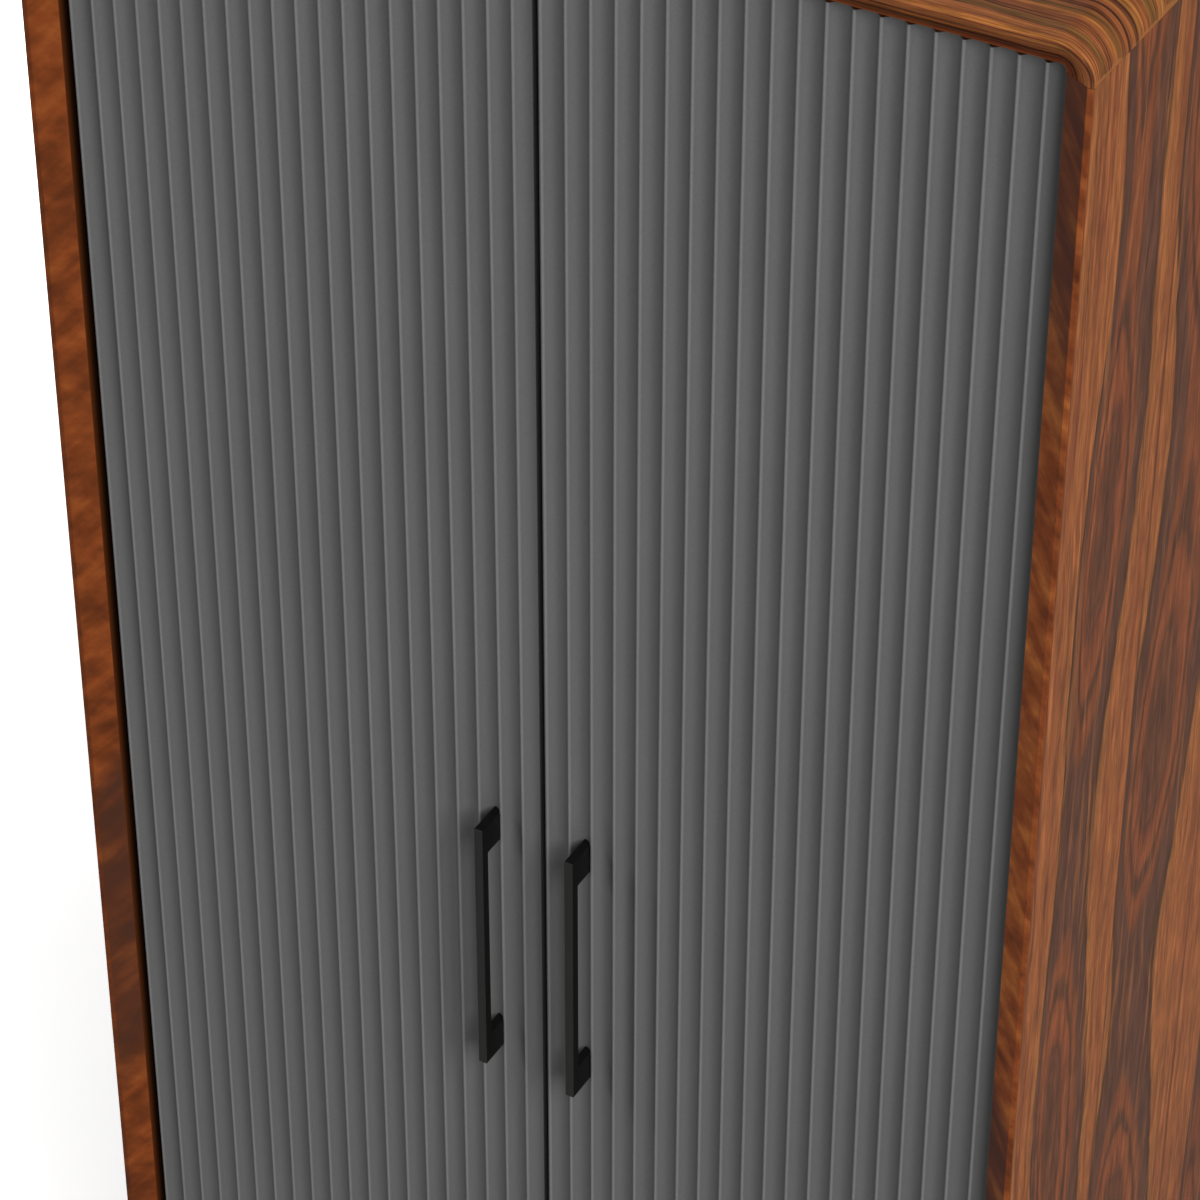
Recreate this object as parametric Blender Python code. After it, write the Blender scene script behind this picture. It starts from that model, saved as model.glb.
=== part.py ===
"""Two-door wardrobe: a bevelled hardwood carcass with rounded corners, and inset doors with scooped flutes.

Metres, +Z up, front towards -Y. The origin is on the floor, under the middle of the whole wardrobe,
handles included. Every board, leaf, pin and fastener is its own object, and each door hangs on an
empty that stands on its pivot axis.
"""

import math

import bmesh
import bpy
from mathutils import Vector

# Carcass
WIDTH = 0.855
HEIGHT = 2.000
DEPTH = 0.560
BOARD = 0.025
CORNER_RADIUS = 0.030
EDGE_FLAT = 0.0046
EDGE_ROUND = 0.0008
BEVEL_DEPTH = 0.012
PLINTH_HEIGHT = 0.090
REBATE_WIDTH = 0.010
REBATE_DEPTH = 0.010
BACK_THICK = 0.006

# Doors
DOOR_THICK = 0.026
DOOR_RECESS = 0.0054
SIDE_GAP = 0.0025
MEETING_GAP = 0.005
END_GAP = 0.0057
FLUTE_PITCH = 0.020
FLUTE_DEPTH = 0.0055
CREST_RADIUS = 0.002
FIRST_CREST = 0.004
EDGE_EASE = 0.001
ARC_STEPS = 8
CREST_STEPS = 4

# Pivot hinges, one leaf on the carcass and one on the door at each end
PIVOT_INSET = 0.022
PIVOT_DEPTH = 0.0108
PIN_RADIUS = 0.0025
PIN_REACH = 0.012
LEAF_THICK = 0.0016
LEAF_LENGTH = 0.064
LEAF_WIDTH = 0.0095
WASHER_RADIUS = 0.0047

# Handles
HANDLE_LENGTH = 0.248
HANDLE_WIDTH = 0.0074
HANDLE_REACH = 0.0272
HANDLE_BAR = 0.009
HANDLE_POST = 0.028
HANDLE_OFFSET = 0.0410
HANDLE_ARRIS = 0.0004
SCREW_RADIUS = 0.002
SCREW_HEAD_RADIUS = 0.004
SCREW_HEAD_THICK = 0.0022
SCREW_GRIP = 0.012

# Magnetic catches and their strike plates
CATCH_SIZE = (0.046, 0.014, 0.017)
CATCH_OFFSET = 0.050
STRIKE_SIZE = (0.038, 0.0015, 0.012)
STRIKE_DROP = 0.003

# Inside
DIVIDER_THICK = 0.018
DIVIDER_SETBACK = 0.002
SHELF_THICK = 0.018
SHELF_SETBACK = 0.062
SHELF_PLAY = 0.001
HAT_SHELF_DROP = 0.290
LOOSE_SHELVES = 3
PEG_RADIUS = 0.0025
PEG_LENGTH = 0.018
PEG_SET = 0.009
PEG_MARGIN = 0.060
RAIL_HEIGHT = 0.030
RAIL_WIDTH = 0.015
RAIL_WALL = 0.0015
RAIL_DROP = 0.060
SOCKET_RIM = 0.003
SOCKET_FLANGE = 0.007
SOCKET_BASE = 0.003
SOCKET_DEPTH = 0.012

# Plinth
PLINTH_BOARD = 0.018
PLINTH_SETBACK = 0.045
PLINTH_SIDE_INSET = 0.040
PLINTH_REAR_INSET = 0.030
GLIDE_RADIUS = 0.013
GLIDE_HEIGHT = 0.005
GLIDE_INSET = 0.060

# Clearance between seated pieces, easing of the loose boards' arrises, and facets of round pieces
FIT = 0.0003
ARRIS = 0.001
ROUND_STEPS = 24
CORNER_STEPS = 10

# Places that follow from the sizes above
HANDLE_PROUD = HANDLE_REACH - BEVEL_DEPTH - DOOR_RECESS
FRONT_Y = -(DEPTH - HANDLE_PROUD) / 2
BACK_Y = FRONT_Y + DEPTH
REBATE_Y = BACK_Y - REBATE_DEPTH
CREST_Y = FRONT_Y + BEVEL_DEPTH + DOOR_RECESS
DOOR_BACK_Y = CREST_Y + DOOR_THICK
SHELF_FRONT_Y = FRONT_Y + SHELF_SETBACK
INNER_HALF = WIDTH / 2 - BOARD
FLOOR_Z = PLINTH_HEIGHT + BOARD
SOFFIT_Z = HEIGHT - BOARD
DOOR_WIDTH = INNER_HALF - SIDE_GAP - MEETING_GAP / 2
DOOR_HEIGHT = SOFFIT_Z - FLOOR_Z - 2 * END_GAP
DOOR_BOTTOM_Z = FLOOR_Z + END_GAP
DOOR_TOP_Z = SOFFIT_Z - END_GAP
PIVOT_X = INNER_HALF - SIDE_GAP - PIVOT_INSET
PIVOT_Y = CREST_Y + PIVOT_DEPTH
HANDLE_MID_Z = (DOOR_BOTTOM_Z + DOOR_TOP_Z) / 2
HAT_SHELF_Z = SOFFIT_Z - HAT_SHELF_DROP
RAIL_Z = HAT_SHELF_Z - RAIL_DROP
INSIDE_BACK_Y = REBATE_Y
RAIL_Y = (DOOR_BACK_Y + INSIDE_BACK_Y) / 2
WASHER_THICK = END_GAP - 2 * LEAF_THICK - 4 * FIT

SIDES = (("left", -1), ("right", 1))


def make_material(name, colour, roughness, metallic=0.0):
    """A plain Principled finish."""
    material = bpy.data.materials.new(name)
    material.use_nodes = True
    shader = material.node_tree.nodes["Principled BSDF"]
    shader.inputs["Base Color"].default_value = (*colour, 1.0)
    shader.inputs["Roughness"].default_value = roughness
    shader.inputs["Metallic"].default_value = metallic
    return material


def add_object(name, bm, material, location=(0, 0, 0), parent=None):
    """Turns a bmesh into a named object with outward faces."""
    bmesh.ops.remove_doubles(bm, verts=bm.verts, dist=1e-6)
    bmesh.ops.recalc_face_normals(bm, faces=bm.faces)
    mesh = bpy.data.meshes.new(name)
    bm.to_mesh(mesh)
    bm.free()
    mesh.materials.append(material)
    obj = bpy.data.objects.new(name, mesh)
    bpy.context.scene.collection.objects.link(obj)
    obj.parent = parent
    obj.location = location
    return obj


def add_empty(name, location):
    """A guide that a door's pieces hang on."""
    empty = bpy.data.objects.new(name, None)
    bpy.context.scene.collection.objects.link(empty)
    empty.location = location
    return empty


def smooth(obj, angle=math.radians(35)):
    """Shades round pieces smooth between their sharp edges."""
    obj.data.shade_smooth()
    obj.data.set_sharp_from_angle(angle=angle)
    return obj


def ease(obj, width=ARRIS):
    """Takes the sharpness off a board's arrises."""
    bevel = obj.modifiers.new("arris", "BEVEL")
    bevel.width = width
    bevel.segments = 1
    return obj


def loft(loops, closed=False):
    """A skin through loops of equal length: capped at both ends, or joined end to start where closed."""
    bm = bmesh.new()
    rings = [[bm.verts.new(point) for point in loop] for loop in loops]
    count = len(rings[0])
    pairs = list(zip(rings, rings[1:]))
    if closed:
        pairs.append((rings[-1], rings[0]))
    for ring, following in pairs:
        for i in range(count):
            j = (i + 1) % count
            bm.faces.new((ring[i], ring[j], following[j], following[i]))
    if not closed:
        bm.faces.new(rings[0])
        bm.faces.new(rings[-1])
    return bm


def prism(outline, low, high, axis="Z"):
    """An outline carried straight along one axis; its points are given in the other two, in XYZ order."""
    place = {
        "X": lambda u, v, w: (w, u, v),
        "Y": lambda u, v, w: (u, w, v),
        "Z": lambda u, v, w: (u, v, w),
    }[axis]
    return loft([[place(u, v, w) for u, v in outline] for w in (low, high)])


def box(low, high):
    """A rectangular block between two corners."""
    outline = [(low[0], low[1]), (high[0], low[1]), (high[0], high[1]), (low[0], high[1])]
    return prism(outline, low[2], high[2])


def circle(radius, centre=(0, 0), steps=ROUND_STEPS):
    """Points round a circle."""
    turns = [2 * math.pi * i / steps for i in range(steps)]
    return [(centre[0] + radius * math.cos(t), centre[1] + radius * math.sin(t)) for t in turns]


def capsule(length, width, centre=(0, 0), steps=ROUND_STEPS):
    """A slot-shaped outline: two half circles joined by straight sides, long in its second direction."""
    radius = width / 2
    reach = length / 2 - radius
    outline = []
    for i in range(steps + 2):
        upper = i <= steps // 2
        turn = math.pi * (i if upper else i - 1) / (steps / 2)
        shift = reach if upper else -reach
        outline.append((centre[0] + radius * math.cos(turn), centre[1] + shift + radius * math.sin(turn)))
    return outline


def merge(bm, other):
    """Adds a second bmesh as a separate body."""
    spare = bpy.data.meshes.new("spare")
    other.to_mesh(spare)
    other.free()
    bm.from_mesh(spare)
    bpy.data.meshes.remove(spare)
    return bm


def group(shapes):
    """Several separate bodies in one bmesh."""
    first, *rest = shapes
    for shape in rest:
        merge(first, shape)
    return first


def combine(obj, tool, operation):
    """Cuts or joins an object with a hidden tool object."""
    tool.hide_render = True
    tool.display_type = "WIRE"
    tool.parent = obj.parent
    boolean = obj.modifiers.new(operation.lower(), "BOOLEAN")
    boolean.operation = operation
    boolean.solver = "EXACT"
    boolean.object = tool
    return obj


# Carcass boards


def edge_section():
    """A carcass board's section as (inset from the outer face, depth): flat lip, bevel, and rear rebate, with
    the outer arrises eased."""
    return [
        (0, FRONT_Y + EDGE_ROUND),
        (EDGE_ROUND, FRONT_Y),
        (EDGE_FLAT, FRONT_Y),
        (BOARD, FRONT_Y + BEVEL_DEPTH),
        (BOARD, REBATE_Y),
        (BOARD - REBATE_WIDTH, REBATE_Y),
        (BOARD - REBATE_WIDTH, BACK_Y),
        (EDGE_ROUND, BACK_Y),
        (0, BACK_Y - EDGE_ROUND),
    ]


def sweep_board(stations):
    """Carries the edge section past stations of (outer x, outer z, inward x, inward z)."""
    loops = []
    for x, z, inward_x, inward_z in stations:
        loops.append([(x + inward_x * inset, y, z + inward_z * inset) for inset, y in edge_section()])
    return loft(loops)


def end_board_stations(joint_z, up):
    """The top or bottom board's path: round one corner, across, and round the other, from joint to joint."""
    stations = []
    for side in (-1, 1):
        centre_x = side * (WIDTH / 2 - CORNER_RADIUS)
        for i in range(CORNER_STEPS + 1):
            share = i / CORNER_STEPS if side < 0 else 1 - i / CORNER_STEPS
            turn = share * math.pi / 2
            out_x = side * math.cos(turn)
            out_z = up * math.sin(turn)
            outer = (centre_x + CORNER_RADIUS * out_x, joint_z + CORNER_RADIUS * out_z)
            stations.append((*outer, -out_x, -out_z))
    return stations


def build_carcass(wood, ply):
    """Top, bottom and sides, butted under the rounded corners, and the back let into their rebates."""
    low_joint = PLINTH_HEIGHT + CORNER_RADIUS
    high_joint = HEIGHT - CORNER_RADIUS
    boards = {
        "top_panel": sweep_board(end_board_stations(high_joint, 1)),
        "bottom_panel": sweep_board(end_board_stations(low_joint, -1)),
    }
    for name, side in SIDES:
        ends = (low_joint + FIT, high_joint - FIT)
        boards[f"{name}_side_panel"] = sweep_board([(side * WIDTH / 2, z, -side, 0) for z in ends])
    objects = {name: smooth(add_object(name, bm, wood)) for name, bm in boards.items()}

    reach = BOARD - REBATE_WIDTH + FIT
    radius = CORNER_RADIUS - reach
    half_width = WIDTH / 2 - reach
    corners = []
    for quarter, (side, end) in enumerate(((1, 1), (-1, 1), (-1, -1), (1, -1))):
        centre_x = side * (half_width - radius)
        centre_z = (HEIGHT - reach - radius) if end > 0 else (PLINTH_HEIGHT + reach + radius)
        for i in range(CORNER_STEPS + 1):
            turn = (quarter + i / CORNER_STEPS) * math.pi / 2
            corners.append((centre_x + radius * math.cos(turn), centre_z + radius * math.sin(turn)))
    back = prism(corners, REBATE_Y + FIT, REBATE_Y + FIT + BACK_THICK, "Y")
    add_object("back_panel", back, ply)
    return objects


# Fluted doors


def flute_radii():
    """Radius of a scoop, and the sum of its radius and a crest's. The arcs touch and turn the other way."""
    half = FLUTE_PITCH / 2
    both = (half**2 + FLUTE_DEPTH**2) / (2 * FLUTE_DEPTH)
    return both - CREST_RADIUS, both


def flute_depth(x):
    """How far the door's face lies behind its crests, at a distance from the door's left edge."""
    half = FLUTE_PITCH / 2
    scoop, both = flute_radii()
    from_crest = (x - FIRST_CREST) % FLUTE_PITCH
    from_middle = abs(from_crest - half)
    if from_middle <= half * scoop / both:
        return math.sqrt(scoop**2 - from_middle**2) - (scoop - FLUTE_DEPTH)
    return CREST_RADIUS - math.sqrt(CREST_RADIUS**2 - (half - from_middle) ** 2)


def fluted_face(low, high):
    """The door's face in plan between two distances from its left edge: rounded crests and circular scoops."""
    half = FLUTE_PITCH / 2
    scoop, both = flute_radii()
    widest = math.asin(half / both)
    scoop_turns = [widest * (2 * k / ARC_STEPS - 1) for k in range(ARC_STEPS + 1)]
    crest_turns = [widest * (2 * k / CREST_STEPS - 1) for k in range(1, CREST_STEPS)]
    marks = {low, high}
    for i in range(-1, int((DOOR_WIDTH - FIRST_CREST) // FLUTE_PITCH) + 1):
        crest = FIRST_CREST + i * FLUTE_PITCH
        marks.update(crest + CREST_RADIUS * math.sin(turn) for turn in crest_turns)
        marks.update(crest + half + scoop * math.sin(turn) for turn in scoop_turns)
    return [(x, flute_depth(x)) for x in sorted(marks) if low <= x <= high]


def door_section():
    """The whole door in plan: fluted in front, flat behind, with both front arrises eased."""
    face = fluted_face(EDGE_EASE, DOOR_WIDTH - EDGE_EASE)
    near = (0, flute_depth(EDGE_EASE) + EDGE_EASE)
    far = (DOOR_WIDTH, flute_depth(DOOR_WIDTH - EDGE_EASE) + EDGE_EASE)
    return [near] + face + [far, (DOOR_WIDTH, DOOR_THICK), (0, DOOR_THICK)]


def handle_screw_heights():
    """The two screw heights, through the middle of each handle post."""
    reach = HANDLE_LENGTH / 2 - HANDLE_POST / 2
    return (HANDLE_MID_Z - reach, HANDLE_MID_Z + reach)


def level_round(radius, x, z, y_low, y_high, steps=12):
    """A cylinder along Y."""
    return prism(circle(radius, (x, z), steps), y_low, y_high, "Y")


def build_door(name, side, paint, pivot):
    """One door panel, drilled for its pivots and its handle screws. Places are taken from the pivot."""
    left_edge = -INNER_HALF + SIDE_GAP if side < 0 else MEETING_GAP / 2
    shift = Vector((left_edge, CREST_Y, 0)) - Vector((pivot.location.x, pivot.location.y, 0))
    bm = prism(door_section(), DOOR_BOTTOM_Z, DOOR_TOP_Z)
    panel = add_object(f"{name}_door_panel", bm, paint, shift, pivot)
    bore = PIN_RADIUS + FIT
    bores = []
    for end_z, away in ((DOOR_BOTTOM_Z, 1), (DOOR_TOP_Z, -1)):
        ends = sorted((end_z - away * FIT, end_z + away * (PIN_REACH + FIT)))
        bores.append(prism(circle(bore), *ends))
    handle_x = side * HANDLE_OFFSET - pivot.location.x
    front = CREST_Y - pivot.location.y - FIT
    behind = DOOR_BACK_Y - pivot.location.y + FIT
    for z in handle_screw_heights():
        bores.append(level_round(SCREW_RADIUS + FIT, handle_x, z, front, behind))
    drill = add_object(f"{name}_door_drill", group(bores), paint)
    combine(panel, drill, "DIFFERENCE")
    return smooth(panel)


# Pivot hinges


def leaf_outline(side):
    """A hinge leaf in plan about its pivot: a round nose round the pin, and a straight tail inwards."""
    nose = LEAF_WIDTH / 2
    tail = -side * (LEAF_LENGTH - nose)
    arc = [math.pi / 2 + math.pi * i / 12 for i in range(13)]
    outline = [(-side * nose * math.cos(t), nose * math.sin(t)) for t in arc]
    return outline + [(tail, -nose), (tail, nose)]


def build_pivots(name, side, steel, nylon, pivot):
    """Carcass leaves with their pins, door leaves that turn on them, and the washer that carries the door."""
    place = (pivot.location.x, pivot.location.y, 0)
    outline = leaf_outline(side)
    for end, fixed_z, inward in (("top", SOFFIT_Z, -1), ("bottom", FLOOR_Z, 1)):
        near = fixed_z + inward * FIT
        far = near + inward * LEAF_THICK
        plate = prism(outline, *sorted((near, far)))
        carcass_leaf = add_object(f"{name}_{end}_pivot", plate, steel, place)
        door_end = fixed_z + inward * END_GAP
        pin_end = door_end + inward * PIN_REACH
        shank = prism(circle(PIN_RADIUS), *sorted((near + inward * FIT, pin_end)))
        pin = add_object(f"{name}_{end}_pin", shank, steel, place)
        combine(carcass_leaf, pin, "UNION")
        smooth(carcass_leaf)

        seat = door_end - inward * FIT
        leaf = prism(outline, *sorted((seat, seat - inward * LEAF_THICK)))
        door_leaf = add_object(f"{name}_{end}_leaf", leaf, steel, (0, 0, 0), pivot)
        eye_ends = sorted((seat + inward * FIT, seat - inward * (LEAF_THICK + FIT)))
        eye = add_object(f"{name}_{end}_eye", prism(circle(PIN_RADIUS + FIT), *eye_ends), steel)
        combine(door_leaf, eye, "DIFFERENCE")
        smooth(door_leaf)

    low = FLOOR_Z + FIT + LEAF_THICK + FIT
    rings = []
    for radius, z in (
        (WASHER_RADIUS, low),
        (WASHER_RADIUS, low + WASHER_THICK),
        (PIN_RADIUS + FIT, low + WASHER_THICK),
        (PIN_RADIUS + FIT, low),
    ):
        rings.append([(x, y, z) for x, y in circle(radius)])
    smooth(add_object(f"{name}_pivot_washer", loft(rings, closed=True), nylon, place))


# Handles, screws and catches


def handle_profile():
    """The handle from the side as (depth, height) about its middle: a flat bar between two deep posts."""
    half = HANDLE_LENGTH / 2
    front = -HANDLE_REACH
    inner = front + HANDLE_BAR
    window = half - HANDLE_POST
    return [
        (front, -half),
        (-FIT, -half),
        (-FIT, -window),
        (inner, -window),
        (inner, window),
        (-FIT, window),
        (-FIT, half),
        (front, half),
    ]


def handle_foot(side, z):
    """The end of a post, scribed to the flutes that it stands on."""
    left_edge = -INNER_HALF + SIDE_GAP if side < 0 else MEETING_GAP / 2
    low = side * HANDLE_OFFSET - HANDLE_WIDTH / 2 - left_edge
    high = low + HANDLE_WIDTH
    scribed = [(left_edge + x, CREST_Y + depth - FIT) for x, depth in fluted_face(low, high)]
    root = CREST_Y - HANDLE_BAR / 2
    half = HANDLE_POST / 2
    return prism(scribed + [(left_edge + high, root), (left_edge + low, root)], z - half, z + half)


def build_handle(name, side, black, pivot):
    """The bar handle, and the two screws that hold it through the door."""
    x = side * HANDLE_OFFSET
    half_width = HANDLE_WIDTH / 2
    to_pivot = Vector((pivot.location.x, pivot.location.y, 0))
    profile = [(CREST_Y + y, HANDLE_MID_Z + z) for y, z in handle_profile()]
    bow = prism(profile, x - half_width, x + half_width, "X")
    handle = add_object(f"{name}_handle", bow, black, -to_pivot, pivot)
    ease(handle, HANDLE_ARRIS)
    feet = group([handle_foot(side, z) for z in handle_screw_heights()])
    foot = add_object(f"{name}_handle_feet", feet, black, -to_pivot)
    combine(handle, foot, "UNION")
    grip_end = CREST_Y - SCREW_GRIP
    holes = [
        level_round(SCREW_RADIUS + FIT, x, z, grip_end - FIT, CREST_Y + FLUTE_DEPTH + FIT)
        for z in handle_screw_heights()
    ]
    tap = add_object(f"{name}_handle_tap", group(holes), black, -to_pivot)
    combine(handle, tap, "DIFFERENCE")

    seat = DOOR_BACK_Y + FIT
    turned = (
        (SCREW_RADIUS, grip_end),
        (SCREW_RADIUS, seat),
        (SCREW_HEAD_RADIUS, seat),
        (SCREW_HEAD_RADIUS, seat + SCREW_HEAD_THICK / 2),
        (SCREW_HEAD_RADIUS * 0.7, seat + SCREW_HEAD_THICK),
    )
    for end, z in zip(("lower", "upper"), handle_screw_heights()):
        loops = [[(u, y, v) for u, v in circle(radius, (x, z), 12)] for radius, y in turned]
        smooth(add_object(f"{name}_{end}_handle_screw", loft(loops), black, -to_pivot, pivot))


def build_catch(name, side, plastic, steel, pivot):
    """A magnetic catch under the top board, and the strike plate that meets it on the door."""
    width, deep, tall = CATCH_SIZE
    x = side * CATCH_OFFSET
    strike_wide, strike_thick, strike_tall = STRIKE_SIZE
    strike_low = DOOR_BACK_Y + FIT
    strike_top = DOOR_TOP_Z - STRIKE_DROP
    strike = box(
        (x - strike_wide / 2, strike_low, strike_top - strike_tall),
        (x + strike_wide / 2, strike_low + strike_thick, strike_top),
    )
    to_pivot = Vector((pivot.location.x, pivot.location.y, 0))
    ease(add_object(f"{name}_strike", strike, steel, -to_pivot, pivot), ARRIS / 4)
    front = strike_low + strike_thick + FIT
    catch = box((x - width / 2, front, SOFFIT_Z - FIT - tall), (x + width / 2, front + deep, SOFFIT_Z - FIT))
    ease(add_object(f"{name}_catch", catch, plastic))


# Inside


def shelf_heights():
    """The loose shelves share the height below the hat shelf evenly."""
    bay = HAT_SHELF_Z - FLOOR_Z
    return [FLOOR_Z + bay * (i + 1) / (LOOSE_SHELVES + 1) for i in range(LOOSE_SHELVES)]


def peg_places():
    """Pegs under each loose shelf, front and rear, in the divider and in the right side."""
    rows = (SHELF_FRONT_Y + PEG_MARGIN, INSIDE_BACK_Y - PEG_MARGIN)
    walls = ((DIVIDER_THICK / 2, 1), (INNER_HALF, -1))
    return [(x, into, y, z - PEG_RADIUS - FIT) for z in shelf_heights() for x, into in walls for y in rows]


def peg_shape(radius, spare, place):
    """A peg, or with spare length the hole for it, along X."""
    x, into, y, z = place
    ends = sorted((x - into * (PEG_SET + spare), x + into * (PEG_LENGTH - PEG_SET)))
    return prism(circle(radius, (y, z), 12), *ends, "X")


def build_inside(side_panel, board, steel, chrome):
    """Divider, hat shelves, loose shelves on pegs, and the hanging rail in its two sockets."""
    rear = INSIDE_BACK_Y - FIT
    half = DIVIDER_THICK / 2
    divider_front = DOOR_BACK_Y + DIVIDER_SETBACK
    divider = add_object(
        "centre_divider",
        box((-half, divider_front, FLOOR_Z + FIT), (half, rear, SOFFIT_Z - FIT)),
        board,
    )
    holes = group([peg_shape(PEG_RADIUS + FIT, FIT, p) for p in peg_places()])
    peg_drill = add_object("peg_drill", holes, steel)
    combine(divider, peg_drill, "DIFFERENCE")
    combine(side_panel, peg_drill, "DIFFERENCE")
    for i, place in enumerate(peg_places(), 1):
        smooth(add_object(f"shelf_peg_{i}", peg_shape(PEG_RADIUS, 0, place), steel))

    for name, side in SIDES:
        near, far = sorted((side * (half + FIT), side * (INNER_HALF - FIT)))
        shelf = box((near, SHELF_FRONT_Y, HAT_SHELF_Z), (far, rear, HAT_SHELF_Z + SHELF_THICK))
        ease(add_object(f"{name}_hat_shelf", shelf, board))
    for i, z in enumerate(shelf_heights(), 1):
        low = (half + SHELF_PLAY, SHELF_FRONT_Y, z)
        high = (INNER_HALF - SHELF_PLAY, rear, z + SHELF_THICK)
        ease(add_object(f"loose_shelf_{i}", box(low, high), board))

    outer = capsule(RAIL_HEIGHT, RAIL_WIDTH, (RAIL_Y, RAIL_Z))
    inner = capsule(RAIL_HEIGHT - 2 * RAIL_WALL, RAIL_WIDTH - 2 * RAIL_WALL, (RAIL_Y, RAIL_Z))
    ends = (-INNER_HALF + SOCKET_BASE + 2 * FIT, -half - SOCKET_BASE - 2 * FIT)
    walls = ((outer, ends[0]), (outer, ends[1]), (inner, ends[1]), (inner, ends[0]))
    rings = [[(x, y, z) for y, z in skin] for skin, x in walls]
    smooth(add_object("hanging_rail", loft(rings, closed=True), chrome))
    for name, wall, into in (("outer", -INNER_HALF, 1), ("inner", -half, -1)):
        smooth(add_object(f"{name}_rail_socket", rail_socket(wall, into), chrome))


def rail_socket(wall, into):
    """An oval cup on a flange: the rail drops into its collar."""
    play = 2 * FIT
    steps = (
        (SOCKET_FLANGE + SOCKET_RIM, FIT),
        (SOCKET_FLANGE + SOCKET_RIM, SOCKET_BASE),
        (SOCKET_RIM, SOCKET_BASE),
        (SOCKET_RIM, SOCKET_DEPTH),
        (play / 2, SOCKET_DEPTH),
        (play / 2, SOCKET_BASE),
    )
    loops = []
    for grow, reach in steps:
        skin = capsule(RAIL_HEIGHT + 2 * grow, RAIL_WIDTH + 2 * grow, (RAIL_Y, RAIL_Z))
        loops.append([(wall + into * reach, y, z) for y, z in skin])
    return loft(loops)


# Plinth


def build_plinth(wood, nylon):
    """Four rails under the carcass, set back from its edges, on six glides."""
    low = GLIDE_HEIGHT + FIT
    high = PLINTH_HEIGHT - FIT
    front = FRONT_Y + PLINTH_SETBACK
    rear = BACK_Y - PLINTH_REAR_INSET
    half = WIDTH / 2 - PLINTH_SIDE_INSET
    for name, y in (("front", front), ("rear", rear - PLINTH_BOARD)):
        rail = box((-half, y, low), (half, y + PLINTH_BOARD, high))
        ease(add_object(f"plinth_{name}", rail, wood))
    for name, side in SIDES:
        near, far = sorted((side * half, side * (half - PLINTH_BOARD)))
        rail = box((near, front + PLINTH_BOARD + FIT, low), (far, rear - PLINTH_BOARD - FIT, high))
        ease(add_object(f"plinth_{name}", rail, wood))
    for row, y in (("front", front + PLINTH_BOARD / 2), ("rear", rear - PLINTH_BOARD / 2)):
        for name, x in (("left", -half + GLIDE_INSET), ("middle", 0), ("right", half - GLIDE_INSET)):
            glide = prism(circle(GLIDE_RADIUS, (x, y)), 0, GLIDE_HEIGHT)
            smooth(add_object(f"{row}_{name}_glide", glide, nylon))


def main():
    for obj in list(bpy.data.objects):
        bpy.data.objects.remove(obj)
    wood = make_material("rosewood", (0.23, 0.085, 0.035), 0.35)
    dark_wood = make_material("dark_plinth_wood", (0.05, 0.022, 0.012), 0.5)
    paint = make_material("grey_paint", (0.13, 0.13, 0.13), 0.55)
    board = make_material("inner_board", (0.30, 0.15, 0.075), 0.5)
    ply = make_material("back_ply", (0.28, 0.16, 0.09), 0.6)
    black = make_material("black_metal", (0.008, 0.008, 0.008), 0.4, 0.8)
    steel = make_material("steel", (0.55, 0.55, 0.56), 0.3, 1.0)
    chrome = make_material("chrome", (0.8, 0.8, 0.8), 0.12, 1.0)
    plastic = make_material("brown_plastic", (0.06, 0.04, 0.03), 0.5)
    nylon = make_material("nylon", (0.08, 0.08, 0.08), 0.5)

    carcass = build_carcass(wood, ply)
    build_inside(carcass["right_side_panel"], board, steel, chrome)
    build_plinth(dark_wood, nylon)
    for name, side in SIDES:
        pivot = add_empty(f"{name}_door_axis", (side * PIVOT_X, PIVOT_Y, 0))
        bpy.context.view_layer.update()
        build_door(name, side, paint, pivot)
        build_pivots(name, side, steel, nylon, pivot)
        build_handle(name, side, black, pivot)
        build_catch(name, side, plastic, steel, pivot)


main()
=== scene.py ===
"""Looks of the two-door wardrobe: lacquered hardwood frame, fluted painted doors, black bar handles.

Every new piece is a surface worked out with numpy in the part's own frame, in metres. Wood pieces carry a
"grain" attribute, (depth into the board, distance across it, distance along the grain), so that the figure
follows each board round its corners. Distance across counts back from the front arris and is negative on the
lip and the bevel. On the doors the attribute is (distance from the nearest crest, one on the edges, height).
"""

import math

import bpy
import numpy as np
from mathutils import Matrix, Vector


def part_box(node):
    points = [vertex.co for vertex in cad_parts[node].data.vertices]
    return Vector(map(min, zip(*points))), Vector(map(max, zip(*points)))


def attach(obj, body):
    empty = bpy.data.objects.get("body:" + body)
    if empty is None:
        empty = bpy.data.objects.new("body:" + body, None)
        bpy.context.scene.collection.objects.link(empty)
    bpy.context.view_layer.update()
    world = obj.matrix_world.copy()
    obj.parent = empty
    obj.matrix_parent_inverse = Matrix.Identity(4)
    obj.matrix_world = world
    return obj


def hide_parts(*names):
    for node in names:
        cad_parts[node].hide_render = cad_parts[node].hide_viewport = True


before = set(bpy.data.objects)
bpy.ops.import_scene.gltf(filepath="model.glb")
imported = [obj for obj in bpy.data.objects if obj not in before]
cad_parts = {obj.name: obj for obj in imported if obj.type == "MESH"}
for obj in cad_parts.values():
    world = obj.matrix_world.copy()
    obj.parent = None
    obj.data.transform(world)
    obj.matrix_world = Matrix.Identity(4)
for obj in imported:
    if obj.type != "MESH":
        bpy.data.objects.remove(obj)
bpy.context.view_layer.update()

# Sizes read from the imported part
side_low, side_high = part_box("right_side_panel")
top_low, top_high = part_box("top_panel")
base_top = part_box("bottom_panel")[1][2]
door_low, door_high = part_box("left_door_panel")
handle_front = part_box("right_handle")[0][1]
back_low, back_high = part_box("back_panel")

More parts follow.
